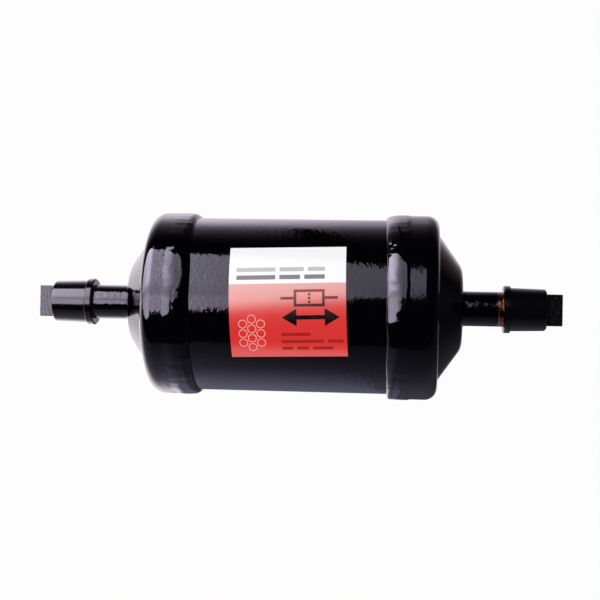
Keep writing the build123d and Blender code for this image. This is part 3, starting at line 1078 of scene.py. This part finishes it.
# %% Finish the caps
tab_long = 6.7 * MM
cup_black, tab_black = (0.0016, 0.0016, 0.002), (0.0012, 0.0012, 0.0016)
cup_roughness, tab_roughness = 0.12, 0.17
cap_end = tab_end - tab_long
cap_black, tree, shader = finish(
    "cap_vinyl", cup_black, cup_roughness, IOR=1.5, Specular_Tint=rgb(0.9, 0.88, 1.0))
from_middle = calc(tree, "ABSOLUTE", along_axis(tree))
on_tab = ease(tree, from_middle, cap_end - 0.1 * MM, cap_end + 0.1 * MM)
tab_grain = grain(tree, 0.8 * MM, 2)
set_inputs(
    tree, shader, Base_Color=mix_colours(tree, on_tab, rgb(*cup_black), rgb(*tab_black)),
    Roughness=ease(tree, on_tab, 0, 1, cup_roughness, tab_roughness),
)
emboss(
    tree, shader, (times(tree, tab_grain, on_tab), 0.11 * MM),
    (grain(tree, 3 * MM, 2), 0.012 * MM), (grain(tree, 0.7 * MM, 2), 0.003 * MM),
)
for name in ("left_shipping_cap", "right_shipping_cap"):
    paint_piece(name, cap_black)
print(f"tabs start {cap_end / MM:.1f} mm from the middle")

# %% [markdown]
# The cap's collar runs into its cup with a soft round at its shoulder and a fillet at its foot. They
# catch the light as a fine bright line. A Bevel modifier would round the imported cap, but a packed
# piece isn't changed, so a small turned ring is laid over the plain step there. The collar and the
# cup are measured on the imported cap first.

# %% Measure the collar's step
shoulder_round, foot_round = 0.45 * MM, 0.4 * MM
round_steps = 8
step_lap = 0.15 * MM  # how far the ring reaches over the step
cap_points = np.array([v.co for v in nodes["right_shipping_cap"].data.vertices])
cap_radii = np.hypot(cap_points[:, 1], cap_points[:, 2])
near_mouth = cap_points[:, 0] < cap_mouth + 6 * MM
collar_radius = float(cap_radii[near_mouth].max())
on_collar = near_mouth & (cap_radii > collar_radius - 0.1 * MM)
collar_end = float(cap_points[on_collar, 0].max())
cup_radius = radius_near("right_shipping_cap", collar_end + 0.5 * MM, 0.1 * MM)
print(f"collar {2e3 * collar_radius:.1f} mm across, cup {2e3 * cup_radius:.1f} mm")

# %% [markdown]
# The ring's outline is a quarter round at the shoulder, a quarter hollow at the foot, and a root
# that is hidden in the cup. It is the same all the way round, and it rides on its cap's body, so that
# it comes off with the cap.

# %% Round the collars
ring_steps = 144
ring_back, ring_root = collar_end - step_lap, cup_radius - 0.4 * MM
step_outline = []
for step in range(round_steps + 1):  # the shoulder, from the collar's top down to its side
    turn = math.pi / 2 * (1 - step / round_steps)
    step_outline.append((
        ring_back + shoulder_round * math.cos(turn),
        collar_radius - 0.01 * MM - shoulder_round * (1 - math.sin(turn)),
    ))
foot_x, foot_radius = step_outline[-1][0] + foot_round, cup_radius + foot_round
for step in range(round_steps + 1):  # the fillet, from the collar's side out to the cup
    turn = math.pi * (1 + step / (2 * round_steps))
    fillet_x = foot_x + foot_round * math.cos(turn)
    step_outline.append((fillet_x, foot_radius + foot_round * math.sin(turn)))
step_outline += [(foot_x, ring_root), (ring_back, ring_root)]

for side, sign in (("left", -1), ("right", 1)):
    points, faces = sweep([step_outline] * ring_steps, sign)
    piece = add_piece(f"{side}_collar_round", points, faces, cap_black, f"{side}_cap")
    print(side, "collar round of", len(faces), "faces")

# %% [markdown]
# What is inside shows only when the drier is opened, but each piece has its own finish. The sheet
# steel is zinc-plated, with the faint spangle of the plating. Springs, flappers and discs are bright
# hardened strip, drawn along its length. The hubs are turned brass, and show the tool's fine rings.
# An anisotropic shader gives such streaks too, but it needs tangents. Noise that is drawn out across
# the axis, so that it changes only along it, shows them on any mesh.

# %% Finish the metal inside
plated, tree, shader = finish("zinc_plate", (0.62, 0.63, 0.62), 0.3, Metallic=1.0)
spangle = grain(tree, 2.2 * MM, 3)
set_inputs(
    tree, shader, Base_Color=mix_colours(tree, spangle, rgb(0.50, 0.51, 0.52), rgb(0.74, 0.74, 0.70)),
    Roughness=ease(tree, spangle, 0.3, 0.7, 0.24, 0.4),
)
emboss(tree, shader, (grain(tree, 0.5 * MM, 2), 0.004 * MM))

spring_steel, tree, shader = finish("spring_steel", (0.46, 0.47, 0.50), 0.2, Metallic=1.0)
drawn = grain(tree, 0.4 * MM, 2, (1, 8, 1))
bright = mix_colours(tree, drawn, rgb(0.36, 0.37, 0.40), rgb(0.58, 0.58, 0.60))
set_inputs(tree, shader, Base_Color=bright)
emboss(tree, shader, (drawn, 0.005 * MM))

brass, tree, shader = finish("turned_brass", (0.78, 0.60, 0.30), 0.22, Metallic=1.0)
tool_rings = grain(tree, 0.25 * MM, 2, (1, 60, 60))
cloudy = grain(tree, 6 * MM, 2)
yellow = mix_colours(tree, cloudy, rgb(0.70, 0.50, 0.22), rgb(0.86, 0.68, 0.36))
set_inputs(tree, shader, Base_Color=yellow)
emboss(tree, shader, (tool_rings, 0.006 * MM))
print("metal inside:", plated.name, spring_steel.name, brass.name)

# %% [markdown]
# The core is a block of small desiccant beads baked together, so it is porous and speckled. Beads
# as meshes would be many thousands of faces that nobody sees, so scattered bumps and noise do. The
# block sits in a sleeve of pressed felt, between gaskets of pressed fibre.

# %% Finish the core and its seals
core_block, tree, shader = finish(
    "desiccant_block", (0.74, 0.66, 0.54), 0.9, Specular_IOR_Level=0.2)
beads = nibs(tree, 1.3 * MM, 0.9 * MM)
speckle = grain(tree, 0.7 * MM, 4)
sandy = mix_colours(tree, speckle, rgb(0.56, 0.47, 0.36), rgb(0.88, 0.82, 0.72))
set_inputs(tree, shader, Base_Color=sandy)
emboss(tree, shader, (beads, 0.25 * MM), (speckle, 0.2 * MM))

felt, tree, shader = finish(
    "pressed_felt", (0.86, 0.84, 0.78), 1.0, Sheen_Weight=0.4, Specular_IOR_Level=0.1)
fibres = grain(tree, 0.35 * MM, 4, (1, 3, 3), 0.7)
woolly = mix_colours(tree, fibres, rgb(0.70, 0.67, 0.60), rgb(0.94, 0.93, 0.89))
set_inputs(tree, shader, Base_Color=woolly)
emboss(tree, shader, (fibres, 0.15 * MM), (grain(tree, 4 * MM, 2), 0.2 * MM))

fibre_gasket, tree, shader = finish("gasket_fibre", (0.03, 0.03, 0.03), 0.75)
flecks = grain(tree, 0.5 * MM, 3)
flecked = mix_colours(tree, flecks, grey(0.018), rgb(0.07, 0.068, 0.062))
set_inputs(tree, shader, Base_Color=flecked)
emboss(tree, shader, (flecks, 0.06 * MM))
print("core and seals:", core_block.name, felt.name, fibre_gasket.name)

# %% [markdown]
# The pieces inside come in pairs, one for each end, so a finish is given out by how a name ends.

# %% Give out the finishes inside
inside = {
    plated: ("center_screen", "flapper_stop", "outlet_cage", "core_plate", "valve_plate"),
    spring_steel: ("core_spring", "inlet_flapper", "outlet_disc"),
    brass: ("valve_hub",),
    core_block: ("desiccant_core",),
    felt: ("core_wrap",),
    fibre_gasket: ("core_gasket",),
}
for material, endings in inside.items():
    for name in nodes:
        if name.endswith(endings):
            paint_piece(name, material)
dressed = [name for name in nodes if nodes[name].material_slots[0].material.use_nodes]
print(len(dressed), "packed pieces have a finish")
